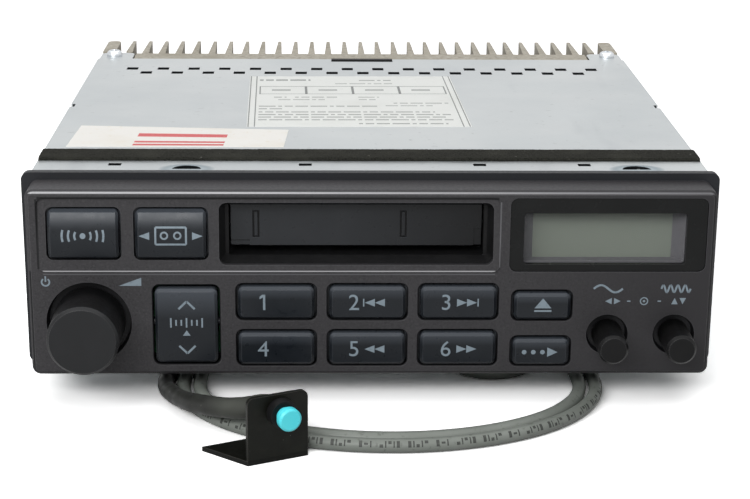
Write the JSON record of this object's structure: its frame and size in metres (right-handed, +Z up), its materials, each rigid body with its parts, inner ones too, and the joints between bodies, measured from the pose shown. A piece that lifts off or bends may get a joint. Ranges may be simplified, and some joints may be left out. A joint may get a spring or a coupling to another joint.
{
  "type": "car cassette radio",
  "caption": "Single-DIN car cassette radio with keys, knobs, display and heat sink, and a remote push button on a cable.",
  "frame": {"origin": "centre of the dash opening, on the back face of the bezel flange, at the case's centre line", "axes": "+X to the right as the driver sees it, +Y to the rear into the dash, +Z up"},
  "size_m": [0.182, 0.2375, 0.0618],
  "materials": {
    "bezel_plastic": "fine grain",
    "key_plastic": "satin",
    "mask_plastic": "gloss",
    "lens": "clear",
    "shroud_plastic": "matt",
    "lcd": "matt",
    "board": "satin",
    "black_plastic": "matt",
    "door_plastic": "satin",
    "knob_plastic": "satin",
    "control_metal": "plain",
    "zinc_steel": "zinc plated",
    "foam": "open cell",
    "sink_aluminium": "cast",
    "screw_steel": "zinc plated",
    "deck_steel": "plain",
    "head_metal": "polished",
    "black_rubber": "matt",
    "brass": "turned",
    "white_plastic": "satin",
    "cable_jacket": "satin",
    "black_steel": "black",
    "cyan_plastic": "satin"
  },
  "bodies": {
    "radio": {"front_bezel": "bezel_plastic", "display_mask": "mask_plastic", "display_lens": "lens", "display_shroud": "shroud_plastic", "lcd_panel": "lcd", "front_circuit_board": "board", "key_switches": "black_plastic", "cassette_guide": "black_plastic", "volume_control": "control_metal", "bass_control": "control_metal", "treble_control": "control_metal", "front_plate": "zinc_steel", "case_tray": "zinc_steel", "top_cover": "zinc_steel", "foam_strip": "foam", "heat_sink": "sink_aluminium", "cover_screws": "screw_steel", "main_circuit_board": "board", "power_amplifiers": "black_plastic", "deck_plate": "deck_steel", "deck_motor": "control_metal", "drive_belt": "black_rubber", "wiring_socket": "white_plastic", "aerial_socket": "control_metal", "cable_grommet": "black_rubber", "remote_cable_coil": "cable_jacket", "remote_cable_tail": "cable_jacket", "cable_sleeve": "black_rubber", "button_bracket": "black_steel", "remote_switch": "black_plastic"},
    "door": {"cassette_door": "door_plastic"},
    "band_key": {"band_button": "key_plastic"},
    "tape_key": {"tape_button": "key_plastic"},
    "rocker": {"tune_rocker": "key_plastic"},
    "preset_1": {"preset_button_1": "key_plastic"},
    "preset_2": {"preset_button_2": "key_plastic"},
    "preset_3": {"preset_button_3": "key_plastic"},
    "preset_4": {"preset_button_4": "key_plastic"},
    "preset_5": {"preset_button_5": "key_plastic"},
    "preset_6": {"preset_button_6": "key_plastic"},
    "eject_key": {"eject_button": "key_plastic"},
    "scan_key": {"scan_button": "key_plastic"},
    "volume": {"volume_knob": "knob_plastic", "volume_shaft": "control_metal"},
    "bass_slide": {"bass_sleeve": "control_metal"},
    "bass": {"bass_knob": "knob_plastic"},
    "treble_slide": {"treble_sleeve": "control_metal"},
    "treble": {"treble_knob": "knob_plastic"},
    "carriage": {"cassette_carriage": "deck_steel"},
    "head": {"head_plate": "deck_steel", "tape_head": "head_metal"},
    "pinch_front": {"pinch_roller_front": "black_rubber"},
    "pinch_rear": {"pinch_roller_rear": "black_rubber"},
    "wheel_front": {"flywheel_front": "brass"},
    "wheel_rear": {"flywheel_rear": "brass"},
    "reel_front": {"reel_hub_front": "white_plastic"},
    "reel_rear": {"reel_hub_rear": "white_plastic"},
    "pulley": {"motor_pulley": "brass"},
    "remote_cap": {"remote_button": "cyan_plastic"}
  },
  "joints": [
    {"name": "door_hinge", "type": "hinge", "parent": "radio", "child": "door", "pos_m": [-0.0041, -0.0063, 0.02], "axis": [-1, 0, 0], "range_deg": [-88, 0], "stiffness_Nm_per_rad": 0.002, "springref_deg": 22.92},
    {"name": "band_press", "type": "slide", "parent": "radio", "child": "band_key", "axis": [0, 1, 0], "range_m": [0, 0.001], "stiffness_N_per_m": 400, "springref_m": -0.001},
    {"name": "tape_press", "type": "slide", "parent": "radio", "child": "tape_key", "axis": [0, 1, 0], "range_m": [0, 0.001], "stiffness_N_per_m": 400, "springref_m": -0.001},
    {"name": "rocker_tilt", "type": "hinge", "parent": "radio", "child": "rocker", "pos_m": [-0.0483, -0.0096, -0.0122], "axis": [1, 0, 0], "range_deg": [-4, 4], "stiffness_Nm_per_rad": 0.05},
    {"name": "preset_1_press", "type": "slide", "parent": "radio", "child": "preset_1", "axis": [0, 1, 0], "range_m": [0, 0.001], "stiffness_N_per_m": 400, "springref_m": -0.001},
    {"name": "preset_2_press", "type": "slide", "parent": "radio", "child": "preset_2", "axis": [0, 1, 0], "range_m": [0, 0.001], "stiffness_N_per_m": 400, "springref_m": -0.001},
    {"name": "preset_3_press", "type": "slide", "parent": "radio", "child": "preset_3", "axis": [0, 1, 0], "range_m": [0, 0.001], "stiffness_N_per_m": 400, "springref_m": -0.001},
    {"name": "preset_4_press", "type": "slide", "parent": "radio", "child": "preset_4", "axis": [0, 1, 0], "range_m": [0, 0.001], "stiffness_N_per_m": 400, "springref_m": -0.001},
    {"name": "preset_5_press", "type": "slide", "parent": "radio", "child": "preset_5", "axis": [0, 1, 0], "range_m": [0, 0.001], "stiffness_N_per_m": 400, "springref_m": -0.001},
    {"name": "preset_6_press", "type": "slide", "parent": "radio", "child": "preset_6", "axis": [0, 1, 0], "range_m": [0, 0.001], "stiffness_N_per_m": 400, "springref_m": -0.001},
    {"name": "eject_press", "type": "slide", "parent": "radio", "child": "eject_key", "axis": [0, 1, 0], "range_m": [0, 0.001], "stiffness_N_per_m": 400, "springref_m": -0.001},
    {"name": "scan_press", "type": "slide", "parent": "radio", "child": "scan_key", "axis": [0, 1, 0], "range_m": [0, 0.001], "stiffness_N_per_m": 400, "springref_m": -0.001},
    {"name": "volume_turn", "type": "hinge", "parent": "radio", "child": "volume", "pos_m": [-0.0734, -0.0113, -0.01165], "axis": [0, 1, 0], "range_deg": [-150, 150]},
    {"name": "bass_pull", "type": "slide", "parent": "radio", "child": "bass_slide", "axis": [0, -1, 0], "range_m": [0, 0.004]},
    {"name": "bass_turn", "type": "hinge", "parent": "bass_slide", "child": "bass", "pos_m": [0.0616, -0.0118, -0.0149], "axis": [0, 1, 0], "range_deg": [-140, 140]},
    {"name": "treble_pull", "type": "slide", "parent": "radio", "child": "treble_slide", "axis": [0, -1, 0], "range_m": [0, 0.004]},
    {"name": "treble_turn", "type": "hinge", "parent": "treble_slide", "child": "treble", "pos_m": [0.0791, -0.0118, -0.0149], "axis": [0, 1, 0], "range_deg": [-140, 140]},
    {"name": "carriage_drop", "type": "slide", "parent": "radio", "child": "carriage", "axis": [0, 0, -1], "range_m": [0, 0.008], "stiffness_N_per_m": 100, "springref_m": -0.02},
    {"name": "head_advance", "type": "slide", "parent": "radio", "child": "head", "axis": [-1, 0, 0], "range_m": [0, 0.0085], "stiffness_N_per_m": 80, "springref_m": -0.01},
    {"name": "pinch_front_spin", "type": "hinge", "parent": "head", "child": "pinch_front", "pos_m": [0.0328, 0.0257, 0], "axis": [0, 0, 1], "continuous": true},
    {"name": "pinch_rear_spin", "type": "hinge", "parent": "head", "child": "pinch_rear", "pos_m": [0.0328, 0.0787, 0], "axis": [0, 0, 1], "continuous": true},
    {"name": "wheel_front_spin", "type": "hinge", "parent": "radio", "child": "wheel_front", "pos_m": [0.0183, 0.0257, 0], "axis": [0, 0, 1], "continuous": true},
    {"name": "wheel_rear_spin", "type": "hinge", "parent": "radio", "child": "wheel_rear", "pos_m": [0.0183, 0.0787, 0], "axis": [0, 0, 1], "continuous": true},
    {"name": "reel_front_spin", "type": "hinge", "parent": "radio", "child": "reel_front", "pos_m": [-0.0062, 0.03095, 0], "axis": [0, 0, 1], "continuous": true},
    {"name": "reel_rear_spin", "type": "hinge", "parent": "radio", "child": "reel_rear", "pos_m": [-0.0062, 0.07345, 0], "axis": [0, 0, 1], "continuous": true},
    {"name": "pulley_spin", "type": "hinge", "parent": "radio", "child": "pulley", "pos_m": [-0.00839, 0.01767, 0], "axis": [0, 0, 1], "continuous": true},
    {"name": "remote_press", "type": "slide", "parent": "radio", "child": "remote_cap", "axis": [-0.4163, 0.9092, 0], "range_m": [0, 0.0015], "stiffness_N_per_m": 500, "springref_m": -0.001}
  ],
  "couplings": [
    {"joint": "wheel_front_spin", "follows": "wheel_rear_spin", "ratio": -1},
    {"joint": "pulley_spin", "follows": "wheel_rear_spin", "ratio": 2.875}
  ]
}
